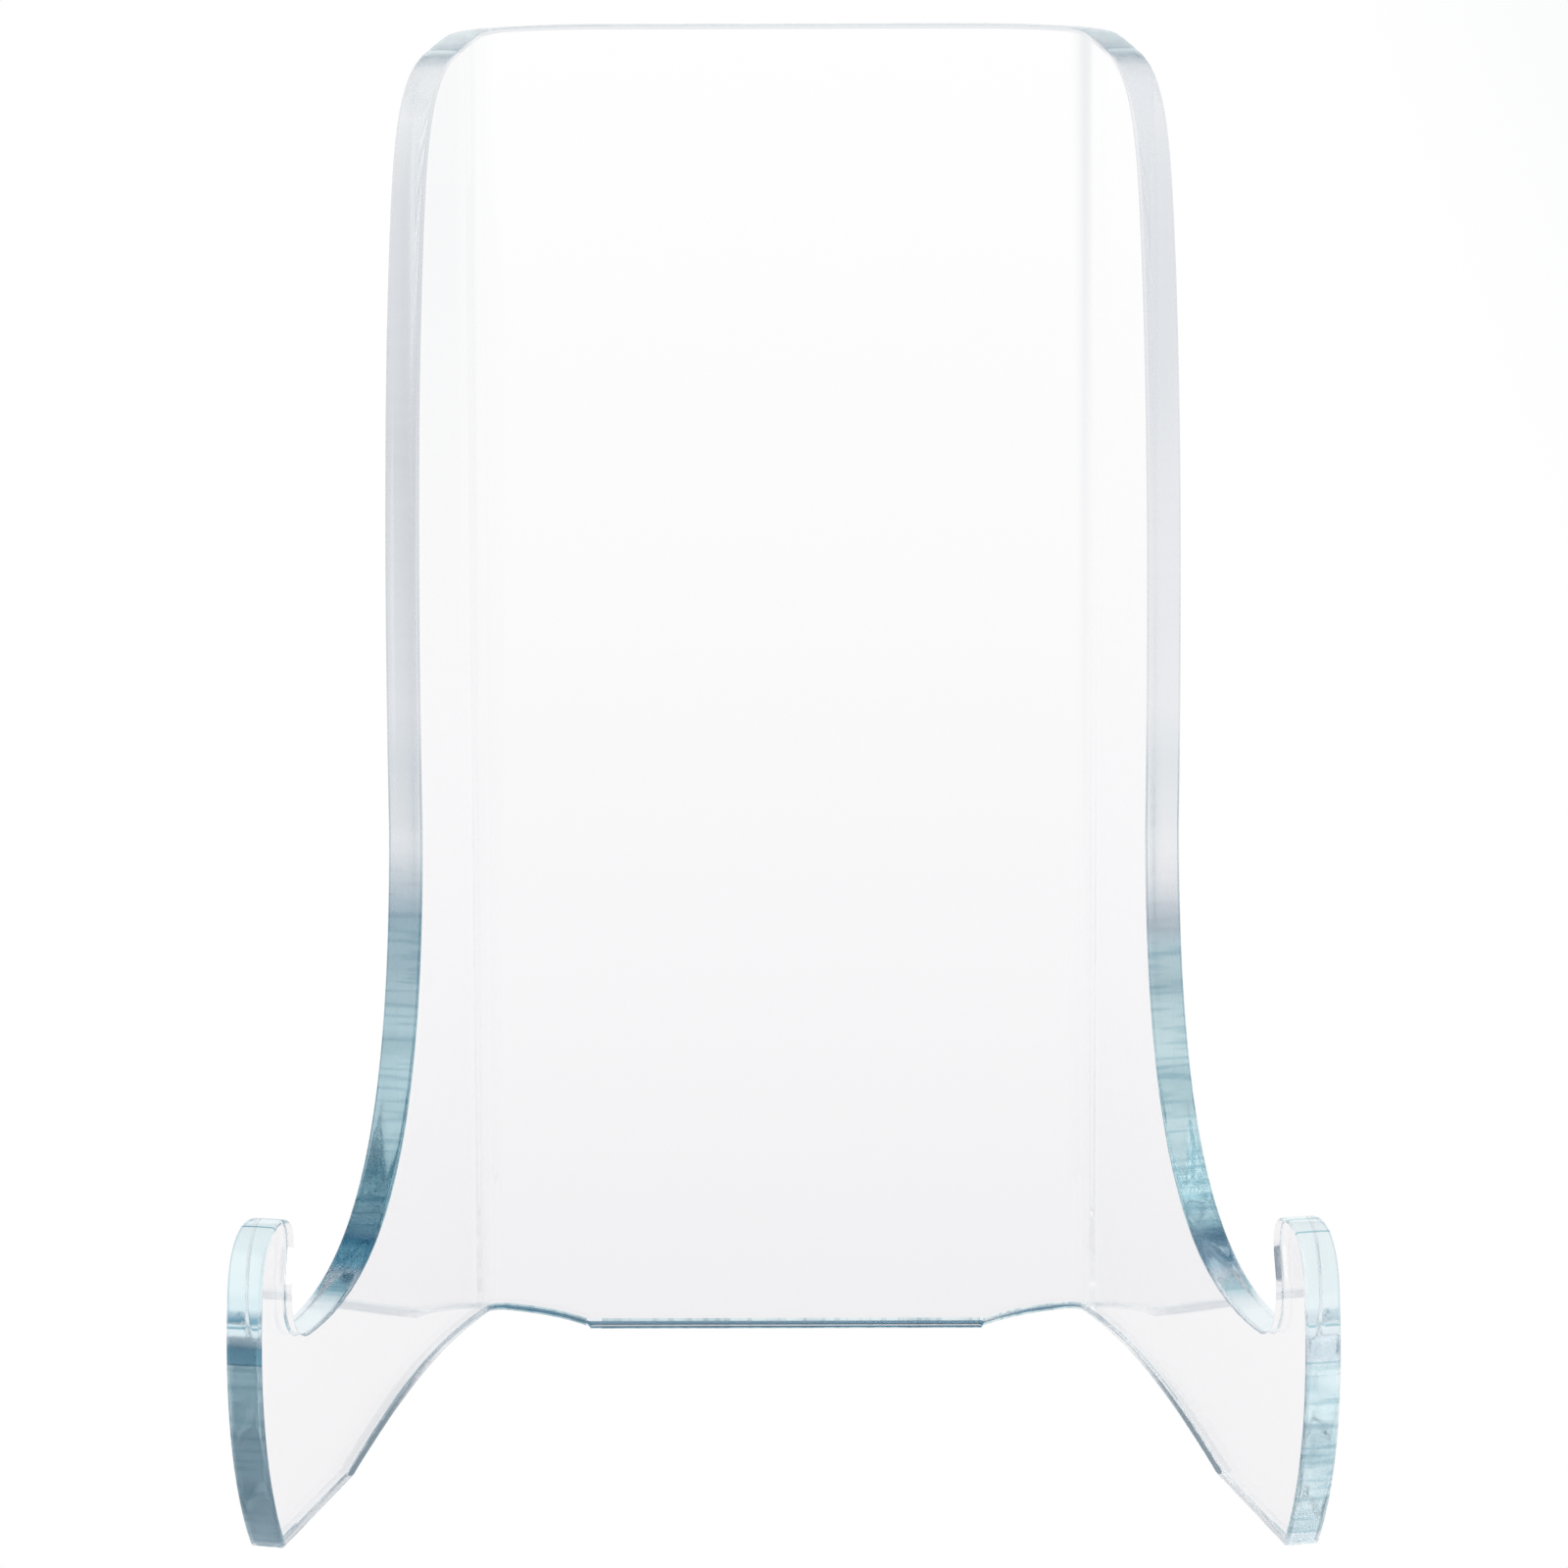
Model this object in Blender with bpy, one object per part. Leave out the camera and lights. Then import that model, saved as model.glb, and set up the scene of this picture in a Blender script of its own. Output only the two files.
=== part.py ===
"""Clear acrylic display stand for a small plate, cut and bent from one sheet.

The sheet has a flat back panel, two heat-formed bends and two wings that come
forward and open slightly outwards. Each wing ends in an upturned hook above a
foot. The panel leans back a little. Three edges rest on the table: the middle
of the panel and the underside of each foot. Lengths are in millimetres here
and are turned into metres when the mesh is made.
"""
import math

import bmesh
import bpy
from mathutils import Vector

MM = 0.001

# The sheet and the way it is bent
SHEET_T = 3.0
PANEL_HALF = 24.0       # centre line to the start of a bend
BEND_RADIUS = 3.5       # measured at the middle of the sheet
BEND_FACETS = 12
CUT_REACH = 0.05        # outline points this near a facet line are moved on to it
SPLAY = math.radians(15.0)   # wing opened outwards from straight ahead
LEAN = math.radians(5.0)     # panel leaned back from upright
BEND_ANGLE = math.pi / 2 - SPLAY
BEND_LENGTH = BEND_RADIUS * BEND_ANGLE
WING = PANEL_HALF + BEND_LENGTH     # wing starts here along the sheet
POLISH = 0.3            # width of the rounding that polishing leaves on the cut edges
POLISH_STEPS = 2
SANDED = 0.05           # what truing the undersides takes off
SHARP = math.radians(40.0)

# The flat outline. A point is (along the sheet from its centre line, up the sheet).
PANEL_H = 114.5
TOP_STRAIGHT = 16.0     # half of the straight top
REAR_FOOT_HALF = 17.2   # half of the straight underside of the panel
FOOT_HEEL = 38.8        # start of the foot's flat underside, along the wing
FOOT_TOE = 57.4         # and its front end


def wing(along, up):
    """A point of the outline measured from the start of the wing."""
    return (WING + along, up)


def ground_up(along):
    """Height up the sheet where the middle of the sheet meets the table."""
    return -plan_point(along, 0.0)[1] * math.tan(LEAN)


def plan_point(along, offset):
    """Sideways and forward place of a point seen square to the sheet's long axis.

    offset is towards the inside of the bend, from the middle of the sheet.
    """
    side = -1.0 if along < 0 else 1.0
    run = abs(along)
    radius = BEND_RADIUS - offset
    if run <= PANEL_HALF:
        return (along, offset)
    turn = min((run - PANEL_HALF) / BEND_RADIUS, BEND_ANGLE)
    past = max(run - WING, 0.0)
    x = PANEL_HALF + radius * math.sin(turn) + past * math.cos(turn)
    forward = BEND_RADIUS - radius * math.cos(turn) + past * math.sin(turn)
    return (side * x, forward)


def place(along, up, offset, grounded):
    """A point of the bent sheet in the room, before centring."""
    x, forward = plan_point(along, offset)
    if grounded:
        up = -forward * math.tan(LEAN)
    y = up * math.sin(LEAN) - forward * math.cos(LEAN)
    z = up * math.cos(LEAN) + forward * math.sin(LEAN)
    return Vector((x, y, z)) * MM


def curve(points, steps):
    """Points along a cubic curve, leaving out its first end."""
    made = []
    for i in range(1, steps + 1):
        t = i / steps
        weights = ((1 - t) ** 3, 3 * t * (1 - t) ** 2, 3 * t * t * (1 - t), t ** 3)
        made.append(tuple(sum(k * p[axis] for k, p in zip(weights, points)) for axis in (0, 1)))
    return made


REAR_FOOT = (REAR_FOOT_HALF, 0.0)
ARCH_CREST = wing(3.0, 1.8)
HEEL = (WING + FOOT_HEEL, ground_up(WING + FOOT_HEEL))
TOE = (WING + FOOT_TOE, ground_up(WING + FOOT_TOE))
HOOK_FRONT = wing(62.7, 16.0)
HOOK_TOP = wing(57.5, 22.2)
HOOK_BACK = wing(53.9, 19.4)
NOTCH_SIDE = wing(54.6, 15.8)
NOTCH_BOTTOM = wing(50.5, 11.5)
NECK_TOP = wing(18.6, 48.0)
SHOULDER = wing(16.2, 101.0)
CORNER_END = wing(5.5, 113.0)
TOP_BEND = (TOP_STRAIGHT, PANEL_H)
RESTS = (REAR_FOOT, HEEL, TOE)      # ends of the flats that touch the table

# Start, two handles and end of every curve of one half, going round from the bottom
OUTLINE = (
    ((REAR_FOOT, (20.5, 1.2), (24.0, 1.8), ARCH_CREST), 8),
    ((ARCH_CREST, wing(14.0, 1.8), wing(24.0, 0.5), HEEL), 12),
    ((TOE, wing(62.0, 0.5), wing(63.6, 8.0), HOOK_FRONT), 12),
    ((HOOK_FRONT, wing(62.6, 20.0), wing(60.5, 22.2), HOOK_TOP), 12),
    ((HOOK_TOP, wing(55.2, 22.2), wing(53.8, 21.6), HOOK_BACK), 8),
    ((HOOK_BACK, wing(54.0, 18.2), wing(54.6, 17.2), NOTCH_SIDE), 4),
    ((NOTCH_SIDE, wing(54.7, 12.9), wing(53.0, 11.5), NOTCH_BOTTOM), 12),
    ((NOTCH_BOTTOM, wing(32.0, 11.5), wing(19.0, 19.3), NECK_TOP), 28),
    ((NECK_TOP, wing(19.2, 66.0), wing(19.0, 86.0), SHOULDER), 14),
    ((SHOULDER, wing(14.8, 108.6), wing(12.2, 112.2), CORNER_END), 12),
    ((CORNER_END, (30.0, 113.9), (24.0, PANEL_H), TOP_BEND), 8),
)


def half_outline():
    """Right half of the outline as (along, up, grounded), from the rear foot to the top."""
    ring = [REAR_FOOT]
    for points, steps in OUTLINE:
        ring.extend(curve(points, steps))
        if ring[-1] == HEEL:
            ring.append(TOE)
    return [(point[0], point[1], point in RESTS) for point in ring]


def full_outline():
    """Closed outline, anticlockwise as seen from the front."""
    right = half_outline()
    left = [(-p[0], p[1], p[2]) for p in reversed(right)]
    return right + left


def flat_pattern():
    """The outline as flat faces, cut along every facet line of the two bends."""
    bm = bmesh.new()
    rest = bm.verts.layers.int.new("grounded")
    ring = []
    for along, up, grounded in full_outline():
        vert = bm.verts.new((along, up, 0.0))
        vert[rest] = int(grounded)
        ring.append(vert)
    bm.faces.new(ring)
    for side in (-1.0, 1.0):
        for i in range(BEND_FACETS + 1):
            cut = side * (PANEL_HALF + BEND_LENGTH * i / BEND_FACETS)
            bmesh.ops.bisect_plane(
                bm, geom=bm.verts[:] + bm.edges[:] + bm.faces[:], dist=CUT_REACH,
                plane_co=(cut, 0.0, 0.0), plane_no=(1.0, 0.0, 0.0))
    return bm, rest


def bent_sheet(name, material):
    """Fold the flat faces into the bent sheet and close it with its cut edges."""
    flat, rest = flat_pattern()
    bm = bmesh.new()
    inner = {}
    outer = {}
    for vert in flat.verts:
        along, up = vert.co.x, vert.co.y
        grounded = bool(vert[rest])
        inner[vert] = bm.verts.new(place(along, up, SHEET_T / 2, grounded))
        outer[vert] = bm.verts.new(place(along, up, -SHEET_T / 2, grounded))
    for face in flat.faces:
        bm.faces.new([inner[v] for v in face.verts])
        bm.faces.new([outer[v] for v in reversed(face.verts)])
    for edge in flat.edges:
        if edge.is_boundary:
            a, b = edge.verts
            bm.faces.new((inner[a], inner[b], outer[b], outer[a]))
    flat.free()
    bmesh.ops.recalc_face_normals(bm, faces=bm.faces)
    round_cut_edges(bm)
    centre_on_floor(bm)
    flatten_undersides(bm)
    bmesh.ops.triangulate(bm, faces=bm.faces, quad_method="BEAUTY", ngon_method="BEAUTY")
    mesh = bpy.data.meshes.new(name)
    bm.to_mesh(mesh)
    bm.free()
    mesh.materials.append(material)
    shade_by_angle(mesh)
    piece = bpy.data.objects.new(name, mesh)
    bpy.context.scene.collection.objects.link(piece)
    return piece


def round_cut_edges(bm):
    """Round the two rims of the cut edge all the way round the sheet."""
    thickness = SHEET_T * MM
    rims = []
    for edge in bm.edges:
        across = abs(edge.calc_length() - thickness) < 1e-6
        if not across and edge.calc_face_angle(0.0) > SHARP:
            rims.append(edge)
    bmesh.ops.bevel(
        bm, geom=rims, offset=POLISH * MM, offset_type="OFFSET", segments=POLISH_STEPS,
        profile=0.5, affect="EDGES", clamp_overlap=True)


def centre_on_floor(bm):
    """Put the middle of the bounding box over the origin, standing on z = 0."""
    lows = [min(v.co[axis] for v in bm.verts) for axis in range(3)]
    highs = [max(v.co[axis] for v in bm.verts) for axis in range(3)]
    shift = Vector((-(lows[0] + highs[0]) / 2, -(lows[1] + highs[1]) / 2, -lows[2]))
    for vert in bm.verts:
        vert.co += shift


def flatten_undersides(bm):
    """Sand the three resting faces true to the table, which rounding leaves a hair off it."""
    for vert in bm.verts:
        if vert.co.z < SANDED * MM:
            vert.co.z = 0.0


def shade_by_angle(mesh, limit=SHARP):
    """Smooth the curves and keep the cut edges crisp."""
    bm = bmesh.new()
    bm.from_mesh(mesh)
    for face in bm.faces:
        face.smooth = True
    for edge in bm.edges:
        edge.smooth = edge.calc_face_angle(math.pi) < limit
    bm.to_mesh(mesh)
    bm.free()


def clear_acrylic():
    """Colourless acrylic with a faint cool cast."""
    material = bpy.data.materials.new("clear_acrylic")
    material.use_nodes = True
    shader = material.node_tree.nodes["Principled BSDF"]
    shader.inputs["Base Color"].default_value = (0.93, 0.97, 0.98, 1.0)
    shader.inputs["Roughness"].default_value = 0.03
    shader.inputs["IOR"].default_value = 1.49
    shader.inputs["Transmission Weight"].default_value = 1.0
    return material


def main():
    """Clear the scene and build the stand."""
    for item in list(bpy.data.objects):
        bpy.data.objects.remove(item, do_unlink=True)
    bent_sheet("stand_sheet", clear_acrylic())


main()
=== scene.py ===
"""Looks of a clear acrylic plate stand, cut from one sheet and heat-bent.

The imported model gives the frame. The sheet is made again here from the same
outline with fine curves, smooth bends, rounded rims and the cutter's faint
marks across its edges, so that light bends through it as through real acrylic.
Lengths are in millimetres here and are turned into metres when the mesh is made.
"""
import math

import bmesh
import bpy
from mathutils import Matrix, Vector, noise
from mathutils.geometry import intersect_line_line_2d


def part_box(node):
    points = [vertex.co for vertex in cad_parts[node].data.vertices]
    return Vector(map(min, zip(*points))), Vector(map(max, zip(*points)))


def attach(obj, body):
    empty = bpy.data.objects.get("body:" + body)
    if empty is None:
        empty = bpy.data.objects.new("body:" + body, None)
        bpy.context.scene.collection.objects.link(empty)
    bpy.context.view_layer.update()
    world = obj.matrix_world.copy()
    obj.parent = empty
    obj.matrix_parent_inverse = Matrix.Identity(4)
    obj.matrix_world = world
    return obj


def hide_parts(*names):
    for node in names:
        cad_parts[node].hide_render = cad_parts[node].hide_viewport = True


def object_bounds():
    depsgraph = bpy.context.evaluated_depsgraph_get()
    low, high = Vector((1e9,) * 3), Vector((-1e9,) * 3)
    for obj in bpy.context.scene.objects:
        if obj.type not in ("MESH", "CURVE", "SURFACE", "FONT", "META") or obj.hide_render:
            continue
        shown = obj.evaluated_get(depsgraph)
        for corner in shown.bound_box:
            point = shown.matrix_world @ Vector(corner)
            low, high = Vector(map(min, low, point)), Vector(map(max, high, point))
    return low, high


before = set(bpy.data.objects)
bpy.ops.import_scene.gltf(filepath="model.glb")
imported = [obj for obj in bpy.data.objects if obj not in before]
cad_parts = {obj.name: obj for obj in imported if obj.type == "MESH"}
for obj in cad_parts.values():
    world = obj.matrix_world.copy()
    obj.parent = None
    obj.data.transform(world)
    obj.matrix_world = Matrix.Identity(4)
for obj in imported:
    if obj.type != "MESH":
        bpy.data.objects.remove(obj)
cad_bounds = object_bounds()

MM = 0.001
NODE = "stand_sheet"

# The sheet and the way it is bent, as in the solid model
SHEET_T = 3.0
PANEL_HALF = 24.0
BEND_RADIUS = 3.5
SPLAY = math.radians(15.0)
LEAN = math.radians(5.0)
BEND_ANGLE = math.pi / 2 - SPLAY
BEND_LENGTH = BEND_RADIUS * BEND_ANGLE
WING = PANEL_HALF + BEND_LENGTH
PANEL_H = 114.5
TOP_STRAIGHT = 16.0
REAR_FOOT_HALF = 17.2
FOOT_HEEL = 38.8
FOOT_TOE = 57.4

# How finely the mesh is made
OUTLINE_STEP = 0.3      # along the outline
ROUGH_STEPS = 20        # steps with which the length of a curve is first measured
FACE_STEP = 4.0         # across the flat faces
BEND_FACETS = 32
BEND_MARGIN = 0.4       # narrow strip beside each bend that keeps the flats flat
CUT_REACH = 0.02        # outline points this near a cut line are moved on to it
WING_REACH = 62.9       # from the bend to the furthest point of the hook
RIM = 0.3               # radius of the polished rims
RIM_STEPS = 4
EDGE_ROWS = 6           # rows across the flat of the cut edge
RESTS_FULLY = 0.999     # a border point with less of the fact "rests" isn't on the table

# How much of the sheet lies behind each place on its cut edge
DEEPEST = 70.0          # longest way through the sheet that still changes its colour
START_INSIDE = 0.05     # the way is measured from this far inside the edge
LEAST_INWARD = 0.02     # a way that leans less than this towards the bend never reaches it
BORDER_SKIP = 8         # outline points per side of the rough border used for measuring
BORDER_FACTS = ("across", "upward", "rests", "run", "behind")

# The cut edge: slightly crowned by polishing, with the cutter's marks across it
CROWN = 0.03
FINE_MARK = 0.006
FINE_PITCH = 0.9
COARSE_MARK = 0.02
COARSE_PITCH = 5.0
MARK_SLANT = 0.12
CHART = 100.0           # millimetres to one unit of the chart that the materials read

# Acrylic, and the shade and reflections painted into its colour
ACRYLIC_IOR = 1.49
ABSORPTION_COLOUR = (0.5, 0.53, 0.6)
ABSORPTION_DENSITY = 1.0
WHITE = (1.0, 1.0, 1.0)
FACE_SHADE_TINTS = (          # painted shade, greyer towards the table, by share of the height
    (0.0, (0.87, 0.865, 0.88)),
    (0.3, (0.93, 0.925, 0.938)),
    (0.6, (0.972, 0.968, 0.977)),
    (1.0, WHITE),
)
EDGE_TINT_AND_REFLECTION = (          # by how much of the sheet lies behind: partly the acrylic's own tint along that length, partly painted dark reflection
    (0.0, (0.88, 0.94, 0.96)),
    (16.8, (0.88, 0.94, 0.96)),
    (18.55, (0.36, 0.63, 0.69)),
    (35.0, (0.46, 0.69, 0.73)),
    (56.0, (0.68, 0.86, 0.88)),
    (DEEPEST, (0.68, 0.86, 0.88)),
)
NECK_PAINTED_SHADE = (          # painted shade and dark reflections across the necks and hooks, by height above the table
    (3.0, (0.86, 0.93, 0.97)),
    (6.0, WHITE),
    (16.08, WHITE),
    (16.92, (0.06, 0.25, 0.38)),
    (18.24, (0.03, 0.17, 0.29)),
    (19.2, (0.80, 0.92, 0.95)),
    (31.2, (1.0, 0.98, 0.96)),
    (36.0, (0.72, 0.68, 0.70)),
    (42.0, (0.46, 0.48, 0.54)),
    (47.4, (0.92, 0.92, 0.93)),
    (55.2, (0.80, 0.85, 0.86)),
    (60.0, WHITE),
)
NECK_REACH = 60.0       # height that the painted shade of the neck is spread over
NECK_DEPTHS = (52.5, 42.0)      # edges with less of the sheet behind them take that painted shade
NECK_FROM = (-24.0, -16.0)      # Y between the hooks and the necks
RIGHT_SHARES = (0.4, 0.85)      # share of that painted shade on the right hook and the right neck
# Painted shade on the upper edges, greyer on the left.
UPPER_EDGE_SHADE = (0.95, 0.965, 0.97)
UPPER_LEFT_SHADE = (0.80, 0.83, 0.86)
UPPER_LEFT_FADE = (85.0, 105.0)     # height over which the upper left edge turns as pale as the right
UPPER_EDGE_FROM = (29.0, 37.2)  # height less drift over which the upper edge's painted shade comes in
UPPER_EDGE_DRIFT = 20.0
# Painted shade that darkens the left wing's edge.
LEFT_EDGE_SHADE = (0.50, 0.63, 0.70)
LEFT_EDGE_FROM = (0.0, -20.0)   # X over which the painted shade on the left wing's edge comes in

# Streaks and bands that the cutter left across the lower edges, as (noise, colour) stops.
# The pitches are along the outline and across the edge.
STREAK_PITCH = (0.7, 9.0)
STREAK_DETAIL = 3.0
STREAK_TINTS = ((0.40, (0.55, 0.68, 0.74)), (0.50, WHITE))
BAND_PITCH = (5.0, 40.0)
BAND_DETAIL = 1.0
BAND_TINTS = ((0.40, (0.60, 0.68, 0.72)), (0.52, WHITE))
DRIFT_PITCH = (30.0, math.inf)
DRIFT_DETAIL = 0.0
MARKS_FROM = (16.8, 18.55)      # sheet behind an edge over which the marks begin to show
POLISH_NOISE = (0.3, 0.7)
POLISH = (0.14, 0.03)   # roughness in a streak and between streaks

# The studio: its colours by direction, and the directions over which they come in
STUDIO_LEFT = (1.8, 1.74, 1.7)
STUDIO_RIGHT = (0.02, 0.11, 0.19)
STUDIO_BACK = (0.03, 0.13, 0.20)
STUDIO_OVERHEAD = (0.04, 0.22, 0.36)
SIDE_FADE = (-0.2, 0.2)
FRONT_FADE = (0.2, -0.2)
FRONT_RISE = (0.02, 0.12)
BACK_RISE = (0.32, 0.50)
OVERHEAD_RISE = (0.80, 0.92)
FLOOR_RADIUS = 4000.0
FLOOR_ROUND = 96
FLOOR_DROP = 0.3        # gap that keeps the floor off the sheet's underside
FLOOR_SHADE = (0.83, 0.85, 0.86)
FLOOR_SHADE_FROM = (90.0, 280.0)

# The camera
CAMERA_PLACE = (2.52, -712.56, 240.89)
CAMERA_AIM = (0.06, 0.0, 55.79)
CAMERA_ROLL = math.radians(-0.193)
CAMERA_LENS = 201.9
CAMERA_FILM = 36.0
CAMERA_NEAR = 10.0

# Light goes back and forth many times inside the sheet before it leaves it
MOST_BOUNCES = 120
MOST_REFLECTIONS = 110
MOST_REFRACTIONS = 60


def wing(along, up):
    """A point of the outline measured from the start of the wing."""
    return (WING + along, up)


def plan_point(along, offset):
    """Sideways and forward place of a point seen square to the sheet's long axis.

    offset is towards the inside of the bend, from the middle of the sheet.
    """
    side = -1.0 if along < 0 else 1.0
    run = abs(along)
    radius = BEND_RADIUS - offset
    if run <= PANEL_HALF:
        return (along, offset)
    turn = min((run - PANEL_HALF) / BEND_RADIUS, BEND_ANGLE)
    past = max(run - WING, 0.0)
    x = PANEL_HALF + radius * math.sin(turn) + past * math.cos(turn)
    forward = BEND_RADIUS - radius * math.cos(turn) + past * math.sin(turn)
    return (side * x, forward)


def ground_up(along, offset=0.0):
    """Height up the sheet where it meets the table."""
    return -plan_point(along, offset)[1] * math.tan(LEAN)


def place(along, up, offset):
    """A point of the bent sheet in the room, before it is stood on the floor."""
    x, forward = plan_point(along, offset)
    y = up * math.sin(LEAN) - forward * math.cos(LEAN)
    z = up * math.cos(LEAN) + forward * math.sin(LEAN)
    return Vector((x, y, z)) * MM


REAR_FOOT = (REAR_FOOT_HALF, 0.0)
ARCH_CREST = wing(3.0, 1.8)
HEEL = (WING + FOOT_HEEL, ground_up(WING + FOOT_HEEL))
TOE = (WING + FOOT_TOE, ground_up(WING + FOOT_TOE))
HOOK_FRONT = wing(62.7, 16.0)
HOOK_TOP = wing(57.5, 22.2)
HOOK_BACK = wing(53.9, 19.4)
NOTCH_SIDE = wing(54.6, 15.8)
NOTCH_BOTTOM = wing(50.5, 11.5)
NECK_TOP = wing(18.6, 48.0)
SHOULDER = wing(16.2, 101.0)
CORNER_END = wing(5.5, 113.0)
TOP_BEND = (TOP_STRAIGHT, PANEL_H)

# Right half of the outline from the middle of the underside to the middle of the top.
# Two points are a straight run, four are a curve with its two handles.
OUTLINE = (
    ((0.0, 0.0), REAR_FOOT),
    (REAR_FOOT, (20.5, 1.2), (24.0, 1.8), ARCH_CREST),
    (ARCH_CREST, wing(14.0, 1.8), wing(24.0, 0.5), HEEL),
    (HEEL, TOE),
    (TOE, wing(62.0, 0.5), wing(63.6, 8.0), HOOK_FRONT),
    (HOOK_FRONT, wing(62.6, 20.0), wing(60.5, 22.2), HOOK_TOP),
    (HOOK_TOP, wing(55.2, 22.2), wing(53.8, 21.6), HOOK_BACK),
    (HOOK_BACK, wing(54.0, 18.2), wing(54.6, 17.2), NOTCH_SIDE),
    (NOTCH_SIDE, wing(54.7, 12.9), wing(53.0, 11.5), NOTCH_BOTTOM),
    (NOTCH_BOTTOM, wing(32.0, 11.5), wing(19.0, 19.3), NECK_TOP),
    (NECK_TOP, wing(19.2, 66.0), wing(19.0, 86.0), SHOULDER),
    (SHOULDER, wing(14.8, 108.6), wing(12.2, 112.2), CORNER_END),
    (CORNER_END, (30.0, 113.9), (24.0, PANEL_H), TOP_BEND),
    (TOP_BEND, (0.0, PANEL_H)),
)
RESTING_RUNS = (OUTLINE[0], OUTLINE[3])


def bezier(points, t):
    """A point of a straight run or curve, by repeated interpolation."""
    points = [Vector(p) for p in points]
    while len(points) > 1:
        points = [a.lerp(b, t) for a, b in zip(points, points[1:])]
    return points[0]


def trace(points, step):
    """Points along a run or curve about one step apart, leaving out its end."""
    rough = [bezier(points, i / ROUGH_STEPS) for i in range(ROUGH_STEPS + 1)]
    length = sum((b - a).length for a, b in zip(rough, rough[1:]))
    count = max(2, round(length / step))
    return [bezier(points, i / count) for i in range(count)]


def full_outline():
    """Closed outline, anticlockwise from the front, as (point, rests on the table)."""
    right = []
    for run in OUTLINE:
        resting = run in RESTING_RUNS
        for i, point in enumerate(trace(run, OUTLINE_STEP)):
            right.append((point, resting or (i == 0 and bool(right) and right[-1][1])))
    top = (Vector(OUTLINE[-1][-1]), False)
    left = [(Vector((-p.x, p.y)), rests) for p, rests in reversed(right[1:])]
    return right + [top] + left


def outward(before, point, after):
    """Direction square to the outline, lengthened at a corner so that its sides stay parallel."""
    first = Vector((point.y - before.y, before.x - point.x)).normalized()
    second = Vector((after.y - point.y, point.x - after.x)).normalized()
    middle = (first + second).normalized()
    return middle / middle.dot(first)


def sheet_behind(point, way, border):
    """How far the sheet runs on behind its cut edge, as far as the bend."""
    reach = DEEPEST
    start = point - way * START_INSIDE
    end = start - way * DEEPEST
    for a, b in zip(border, border[1:] + border[:1]):
        hit = intersect_line_line_2d(start, end, a, b)
        if hit is not None:
            reach = min(reach, (hit - start).length)
    side = math.copysign(1.0, point.x)
    if abs(point.x) > WING and side * way.x > LEAST_INWARD:
        reach = min(reach, (abs(point.x) - WING) / (side * way.x))
    return reach


def cut_lines():
    """Places along the sheet where its flat faces are divided."""
    lines = [PANEL_HALF - BEND_MARGIN, WING + BEND_MARGIN]
    lines += [PANEL_HALF + BEND_LENGTH * i / BEND_FACETS for i in range(BEND_FACETS + 1)]
    lines += [FACE_STEP * (i + 0.5) for i in range(int(PANEL_HALF / FACE_STEP))]
    lines += [WING + FACE_STEP * i for i in range(1, int(WING_REACH / FACE_STEP) + 1)]
    return lines


def flat_pattern():
    """The outline less its rims as flat faces, with the outline's facts kept on its border."""
    bm = bmesh.new()
    layers = {name: bm.verts.layers.float.new(name) for name in BORDER_FACTS}
    outline = full_outline()
    border = [point for point, _ in outline[::BORDER_SKIP]]
    ring = []
    run = 0.0
    for i, (point, rests) in enumerate(outline):
        before = outline[i - 1][0]
        after = outline[(i + 1) % len(outline)][0]
        way = outward(before, point, after)
        inside = point - way * RIM
        vert = bm.verts.new((inside.x, inside.y, 0.0))
        facts = (way.x, way.y, float(rests), run, sheet_behind(point, way.normalized(), border))
        for name, fact in zip(BORDER_FACTS, facts):
            vert[layers[name]] = fact
        ring.append(vert)
        run += (after - point).length
    bm.faces.new(ring)
    planes = [((side * x, 0.0, 0.0), (1.0, 0.0, 0.0)) for side in (-1.0, 1.0) for x in cut_lines()]
    rows = math.ceil(PANEL_H / FACE_STEP)
    planes += [((0.0, FACE_STEP * (i + 0.5), 0.0), (0.0, 1.0, 0.0)) for i in range(rows)]
    for where, facing in planes:
        bmesh.ops.bisect_plane(
            bm, geom=bm.verts[:] + bm.edges[:] + bm.faces[:], dist=CUT_REACH,
            plane_co=where, plane_no=facing)
    return bm, layers


def edge_profile():
    """The cut edge from one face to the other, as (depth below the outline, offset)."""
    half = SHEET_T / 2
    rim = []
    for i in range(RIM_STEPS + 1):
        angle = math.pi / 2 * i / RIM_STEPS
        rim.append((RIM * (1 - math.sin(angle)), half - RIM * (1 - math.cos(angle))))
    flat = half - RIM
    middle = [(0.0, flat - 2 * flat * i / EDGE_ROWS) for i in range(1, EDGE_ROWS)]
    back = [(depth, -offset) for depth, offset in reversed(rim)]
    return rim + middle + back


def mark_depth(point, offset):
    """How far the crown and the cutter's marks lie below the outline."""
    share = 2 * offset / SHEET_T
    slant = MARK_SLANT * offset
    fine = noise.noise(Vector((point.x, point.y, slant)) / FINE_PITCH)
    coarse = noise.noise(Vector((point.x, point.y, slant)) / COARSE_PITCH)
    marks = FINE_MARK * (1 + fine) + COARSE_MARK * (1 + coarse)
    return CROWN * share ** 2 + marks


def edge_column(vert, layers, profile):
    """Points of the cut edge at one place, from one face to the other."""
    way = Vector((vert[layers["across"]], vert[layers["upward"]]))
    point = vert.co.xy + way * RIM
    rests = vert[layers["rests"]] > RESTS_FULLY
    column = []
    for depth, offset in profile:
        if not rests:
            depth += mark_depth(point, offset) * (1 - depth / RIM)
        spot = point - way * depth
        if rests:
            spot.y = ground_up(point.x, offset) + depth
        column.append(place(spot.x, spot.y, offset))
    return column


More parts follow.
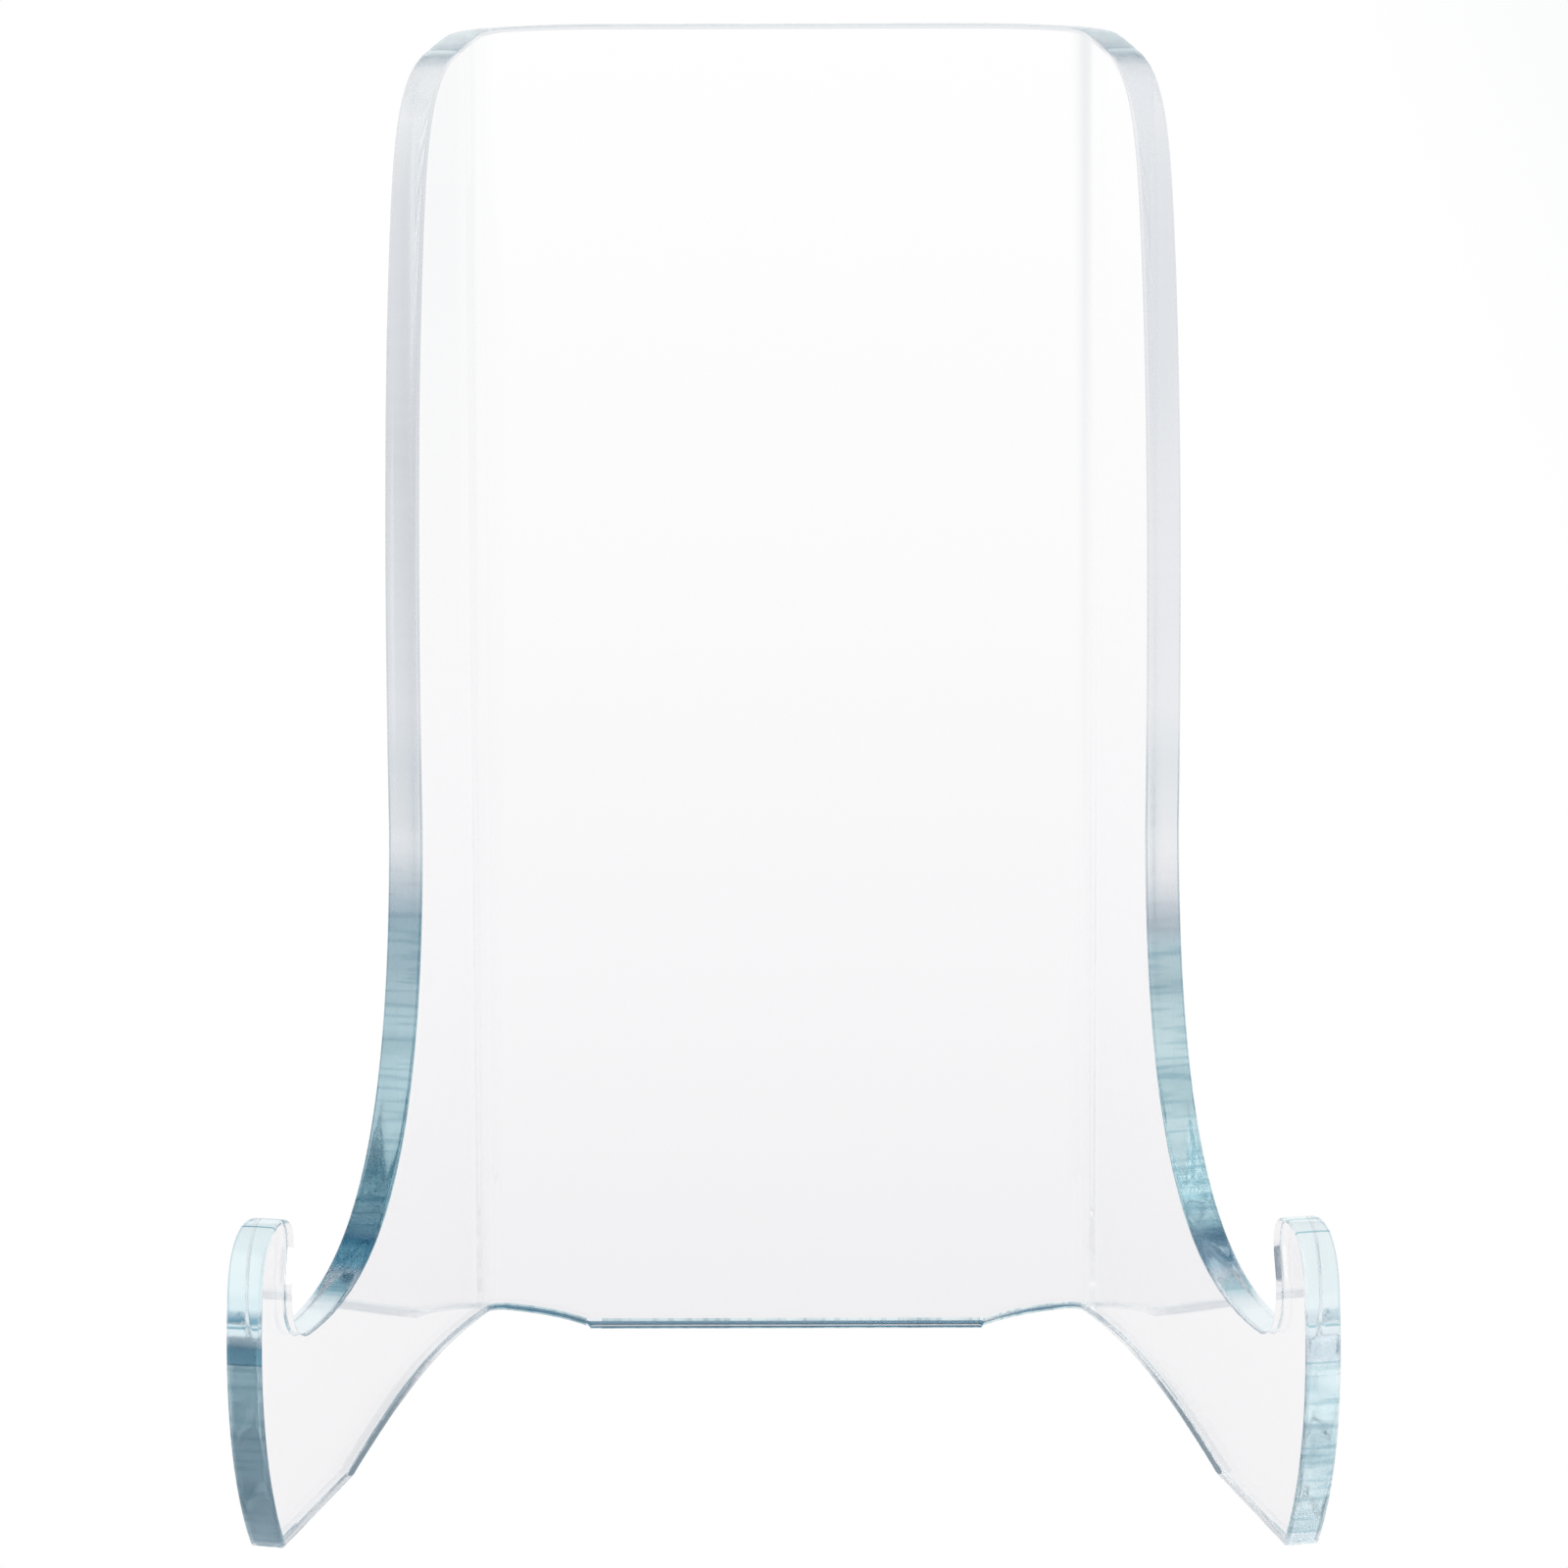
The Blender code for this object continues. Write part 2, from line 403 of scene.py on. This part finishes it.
def fold(flat, layers):
    """The closed bent sheet: both faces, and the cut edge lofted between them."""
    bm = bmesh.new()
    behind = bm.verts.layers.float.new("behind")
    chart = bm.loops.layers.uv.new("chart")
    half = SHEET_T / 2
    front = {v: bm.verts.new(place(v.co.x, v.co.y, half)) for v in flat.verts}
    back = {v: bm.verts.new(place(v.co.x, v.co.y, -half)) for v in flat.verts}
    profile = edge_profile()
    strips = {}
    for vert in flat.verts:
        if not vert.is_boundary:
            continue
        column = edge_column(vert, layers, profile)
        front[vert].co = column[0]
        back[vert].co = column[-1]
        strips[vert] = [front[vert]] + [bm.verts.new(co) for co in column[1:-1]] + [back[vert]]
        for made in strips[vert]:
            made[behind] = vert[layers["behind"]]
    for face in flat.faces:
        for side, order in ((front, 1), (back, -1)):
            corners = face.verts[:][::order]
            made = bm.faces.new([side[v] for v in corners])
            for loop, corner in zip(made.loops, corners):
                loop[chart].uv = (corner.co.x / CHART, corner.co.y / CHART)
    for edge in flat.edges:
        if not edge.is_boundary:
            continue
        a, b = edge.verts
        for row in range(len(profile) - 1):
            corners = ((a, row), (b, row), (b, row + 1), (a, row + 1))
            cut = bm.faces.new([strips[v][at] for v, at in corners])
            cut.material_index = 1
            for loop, (v, at) in zip(cut.loops, corners):
                loop[chart].uv = (v[layers["run"]] / CHART, profile[at][1] / CHART)
    return bm


def stand_on_floor(bm):
    """Fit the sheet to the box of the solid model that it replaces."""
    low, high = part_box(NODE)
    lows = Vector([min(v.co[axis] for v in bm.verts) for axis in range(3)])
    highs = Vector([max(v.co[axis] for v in bm.verts) for axis in range(3)])
    size = highs - lows
    room = Vector(high) - Vector(low)
    scale = min(1.0, *(room[axis] / size[axis] for axis in range(3)))
    middle = (lows + highs) / 2
    middle.z = lows.z
    target = (Vector(low) + Vector(high)) / 2
    target.z = low[2]
    for vert in bm.verts:
        vert.co = target + (vert.co - middle) * scale


def acrylic_sheet(name, faces, edges):
    """The finished sheet, with its faces and its cut edges in their own materials."""
    flat, layers = flat_pattern()
    bm = fold(flat, layers)
    flat.free()
    bmesh.ops.recalc_face_normals(bm, faces=bm.faces)
    stand_on_floor(bm)
    bmesh.ops.triangulate(bm, faces=[f for f in bm.faces if len(f.verts) > 4])
    for face in bm.faces:
        face.smooth = True
    for edge in bm.edges:
        materials = {face.material_index for face in edge.link_faces}
        edge.smooth = len(materials) == 1
    mesh = bpy.data.meshes.new(name)
    bm.to_mesh(mesh)
    bm.free()
    mesh.materials.append(faces)
    mesh.materials.append(edges)
    piece = bpy.data.objects.new(name, mesh)
    bpy.context.scene.collection.objects.link(piece)
    return piece


def new_material(name):
    """An empty node material, its nodes and its links."""
    material = bpy.data.materials.new(name)
    material.use_nodes = True
    tree = material.node_tree
    return material, tree.nodes, tree.links


def clear_acrylic(nodes, links):
    """Make the shader clear acrylic, which also takes colour along the light's way through it."""
    shader = nodes["Principled BSDF"]
    shader.inputs["IOR"].default_value = ACRYLIC_IOR
    shader.inputs["Transmission Weight"].default_value = 1.0
    absorption = nodes.new("ShaderNodeVolumeAbsorption")
    absorption.inputs["Color"].default_value = (*ABSORPTION_COLOUR, 1.0)
    absorption.inputs["Density"].default_value = ABSORPTION_DENSITY
    links.new(absorption.outputs["Volume"], nodes["Material Output"].inputs["Volume"])
    return shader


def colour_ramp(nodes, links, source, stops):
    """Colours along a value, from (position, colour) stops."""
    ramp = nodes.new("ShaderNodeValToRGB")
    elements = ramp.color_ramp.elements
    while len(elements) < len(stops):
        elements.new(0.5)
    for element, (position, colour) in zip(elements, stops):
        element.position = position
        element.color = (*colour, 1.0)
    links.new(source, ramp.inputs["Fac"])
    return ramp.outputs["Color"]


def map_range(nodes, links, source, low, high, to_low=0.0, to_high=1.0):
    """A value carried from one range to another, and held at its ends."""
    node = nodes.new("ShaderNodeMapRange")
    for name, value in (("From Min", low), ("From Max", high), ("To Min", to_low), ("To Max", to_high)):
        node.inputs[name].default_value = value
    links.new(source, node.inputs["Value"])
    return node.outputs["Result"]


def mix_colour(nodes, links, factor, first, second, blend="MIX"):
    """Mix two colours, each a colour value or a node's output."""
    node = nodes.new("ShaderNodeMix")
    node.data_type = "RGBA"
    node.blend_type = blend
    for name, source in (("Factor", factor), ("A", first), ("B", second)):
        socket = next(i for i in node.inputs if i.name == name and i.enabled)
        if isinstance(source, bpy.types.NodeSocket):
            links.new(source, socket)
        elif isinstance(source, tuple):
            socket.default_value = (*source, 1.0)
        else:
            socket.default_value = source
    return next(o for o in node.outputs if o.enabled)


def multiply(nodes, links, first, second):
    """One colour seen through another."""
    return mix_colour(nodes, links, 1.0, first, second, "MULTIPLY")


def place_in_object(nodes, links):
    """The X, Y and Z outputs of the shaded point's place in its object's own axes."""
    where = nodes.new("ShaderNodeTexCoord")
    split = nodes.new("ShaderNodeSeparateXYZ")
    links.new(where.outputs["Object"], split.inputs["Vector"])
    return split.outputs


def chart_noise(nodes, links, pitch, detail):
    """Noise over the sheet's own chart, with its pitch along and across it."""
    chart = nodes.new("ShaderNodeUVMap")
    chart.uv_map = "chart"
    mapping = nodes.new("ShaderNodeMapping")
    mapping.inputs["Scale"].default_value = (CHART / pitch[0], CHART / pitch[1], 1.0)
    links.new(chart.outputs["UV"], mapping.inputs["Vector"])
    texture = nodes.new("ShaderNodeTexNoise")
    texture.inputs["Scale"].default_value = 1.0
    texture.inputs["Detail"].default_value = detail
    links.new(mapping.outputs["Vector"], texture.inputs["Vector"])
    return texture.outputs["Fac"]


def metres(lengths):
    """Lengths given in millimetres, in metres."""
    return [length * MM for length in lengths]


def shares(stops, reach):
    """Colour stops given in millimetres, as shares of a reach."""
    return [(at / reach, colour) for at, colour in stops]


def face_material():
    """The polished faces of the sheet: all but colourless, with painted shade that greys them a little
    towards the table.
    """
    material, nodes, links = new_material("clear_face")
    shader = clear_acrylic(nodes, links)
    shader.inputs["Roughness"].default_value = 0.0
    where = place_in_object(nodes, links)
    height = map_range(nodes, links, where["Z"], 0.0, cad_bounds[1][2])
    # Painted shade: the faces grey a little towards the table.
    links.new(colour_ramp(nodes, links, height, FACE_SHADE_TINTS), shader.inputs["Base Color"])
    return material


def on_the_left(nodes, links, where):
    """How far a place counts as being on the left wing."""
    return map_range(nodes, links, where["X"], *metres(LEFT_EDGE_FROM))


def marks_and_left_shade(nodes, links, where, streaks):
    """Tint of the cutter's streaks and bands, and painted shade on the left wing's edge."""
    bands = chart_noise(nodes, links, BAND_PITCH, BAND_DETAIL)
    streaked = colour_ramp(nodes, links, streaks, STREAK_TINTS)
    banded = colour_ramp(nodes, links, bands, BAND_TINTS)
    # Painted shade: the left wing's edge darker than the right.
    left_shade = mix_colour(nodes, links, on_the_left(nodes, links, where), WHITE, LEFT_EDGE_SHADE)
    return multiply(nodes, links, multiply(nodes, links, streaked, banded), left_shade)


def neck_painted_shade(nodes, links, where, behind):
    """Painted shade and dark reflections by height on the edges with little of the sheet behind them,
    fainter on the right.
    """
    height = map_range(nodes, links, where["Z"], 0.0, NECK_REACH * MM)
    tint = colour_ramp(nodes, links, height, shares(NECK_PAINTED_SHADE, NECK_REACH))
    neck = map_range(nodes, links, behind, *NECK_DEPTHS)
    share = map_range(nodes, links, where["Y"], *metres(NECK_FROM), *RIGHT_SHARES)
    right = mix_colour(nodes, links, share, WHITE, tint)
    tint = mix_colour(nodes, links, on_the_left(nodes, links, where), right, tint)
    return mix_colour(nodes, links, neck, WHITE, tint)


def upper_edge(nodes, links, where):
    """How far a place counts as the upper edge, from a level that drifts along the outline."""
    level = nodes.new("ShaderNodeMath")
    level.operation = "MULTIPLY_ADD"
    level.inputs[1].default_value = -UPPER_EDGE_DRIFT * MM
    links.new(chart_noise(nodes, links, DRIFT_PITCH, DRIFT_DETAIL), level.inputs[0])
    links.new(where["Z"], level.inputs[2])
    return map_range(nodes, links, level.outputs["Value"], *metres(UPPER_EDGE_FROM))


def upper_edge_shade(nodes, links, where):
    """Painted shade on the upper edge, greyer on the left except near the top."""
    top = map_range(nodes, links, where["Z"], *metres(UPPER_LEFT_FADE))
    left = mix_colour(nodes, links, top, UPPER_LEFT_SHADE, UPPER_EDGE_SHADE)
    return mix_colour(nodes, links, on_the_left(nodes, links, where), UPPER_EDGE_SHADE, left)


def edge_material():
    """The cut edges: low down they deepen in colour where more of the sheet lies behind them, partly as
    the acrylic's own tint and partly as painted dark reflection; painted shade also lies on the upper
    edges, the necks and the left wing.
    """
    material, nodes, links = new_material("cut_edge")
    shader = clear_acrylic(nodes, links)
    where = place_in_object(nodes, links)
    attribute = nodes.new("ShaderNodeAttribute")
    attribute.attribute_name = "behind"
    behind = attribute.outputs["Fac"]
    streaks = chart_noise(nodes, links, STREAK_PITCH, STREAK_DETAIL)
    depth = map_range(nodes, links, behind, 0.0, DEEPEST)
    # Deeper colour where more sheet lies behind: partly the acrylic's own tint, partly painted dark
    # reflection.
    clean = colour_ramp(nodes, links, depth, shares(EDGE_TINT_AND_REFLECTION, DEEPEST))
    marked_and_shaded = multiply(nodes, links, clean, marks_and_left_shade(nodes, links, where, streaks))
    marked = map_range(nodes, links, behind, *MARKS_FROM)
    lower = mix_colour(nodes, links, marked, clean, marked_and_shaded)
    # Painted shade on the upper edges.
    upper = upper_edge_shade(nodes, links, where)
    tint = mix_colour(nodes, links, upper_edge(nodes, links, where), lower, upper)
    # Painted shade and dark reflections across the necks and hooks.
    tint = multiply(nodes, links, tint, neck_painted_shade(nodes, links, where, behind))
    links.new(tint, shader.inputs["Base Color"])
    links.new(map_range(nodes, links, streaks, *POLISH_NOISE, *POLISH), shader.inputs["Roughness"])
    return material


def floor_material():
    """Evenly lit white, falling off softly to the right, away from the main light."""
    material, nodes, links = new_material("white_floor")
    nodes.remove(nodes["Principled BSDF"])
    where = place_in_object(nodes, links)
    right = map_range(nodes, links, where["X"], *metres(FLOOR_SHADE_FROM))
    glow = nodes.new("ShaderNodeEmission")
    links.new(mix_colour(nodes, links, right, WHITE, FLOOR_SHADE), glow.inputs["Color"])
    links.new(glow.outputs["Emission"], nodes["Material Output"].inputs["Surface"])
    return material


def make_floor():
    """A wide white floor."""
    mesh = bpy.data.meshes.new("studio_floor")
    bm = bmesh.new()
    bmesh.ops.create_circle(bm, cap_ends=True, radius=FLOOR_RADIUS * MM, segments=FLOOR_ROUND)
    bm.to_mesh(mesh)
    bm.free()
    mesh.materials.append(floor_material())
    floor = bpy.data.objects.new("studio_floor", mesh)
    floor.location.z = -FLOOR_DROP * MM
    bpy.context.scene.collection.objects.link(floor)


def make_world():
    """A white horizon all round, under a dimmer and bluer studio that the cut edges pick up."""
    world = bpy.data.worlds.new("studio")
    bpy.context.scene.world = world
    world.use_nodes = True
    nodes = world.node_tree.nodes
    links = world.node_tree.links
    where = nodes.new("ShaderNodeTexCoord")
    split = nodes.new("ShaderNodeSeparateXYZ")
    links.new(where.outputs["Generated"], split.inputs["Vector"])
    right = map_range(nodes, links, split.outputs["X"], *SIDE_FADE)
    ahead = map_range(nodes, links, split.outputs["Y"], *FRONT_FADE)
    above = map_range(nodes, links, split.outputs["Z"], *FRONT_RISE)
    above_back = map_range(nodes, links, split.outputs["Z"], *BACK_RISE)
    overhead = map_range(nodes, links, split.outputs["Z"], *OVERHEAD_RISE)
    front = mix_colour(nodes, links, right, STUDIO_LEFT, STUDIO_RIGHT)
    front = mix_colour(nodes, links, above, WHITE, front)
    rear = mix_colour(nodes, links, above_back, WHITE, STUDIO_BACK)
    room = mix_colour(nodes, links, ahead, rear, front)
    sky = mix_colour(nodes, links, overhead, room, STUDIO_OVERHEAD)
    links.new(sky, nodes["Background"].inputs["Color"])


def make_camera():
    """A long lens in front of the stand and a little above it."""
    data = bpy.data.cameras.new("camera")
    data.sensor_width = CAMERA_FILM
    data.lens = CAMERA_LENS
    data.clip_start = CAMERA_NEAR * MM
    camera = bpy.data.objects.new("camera", data)
    eye = Vector(CAMERA_PLACE) * MM
    aim = Vector(CAMERA_AIM) * MM
    turn = (aim - eye).to_track_quat("-Z", "Y").to_matrix().to_4x4()
    roll = Matrix.Rotation(CAMERA_ROLL, 4, "Z")
    camera.matrix_world = Matrix.Translation(eye) @ turn @ roll
    bpy.context.scene.collection.objects.link(camera)
    bpy.context.scene.camera = camera


def let_light_through():
    """Follow light for long enough to leave the sheet, and show white as white."""
    scene = bpy.context.scene
    scene.view_settings.view_transform = "Standard"
    scene.cycles.max_bounces = MOST_BOUNCES
    scene.cycles.glossy_bounces = MOST_REFLECTIONS
    scene.cycles.transmission_bounces = MOST_REFRACTIONS


sheet = acrylic_sheet("clear_sheet", face_material(), edge_material())
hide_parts(NODE)
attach(sheet, "root")
make_floor()
make_world()
make_camera()
let_light_through()
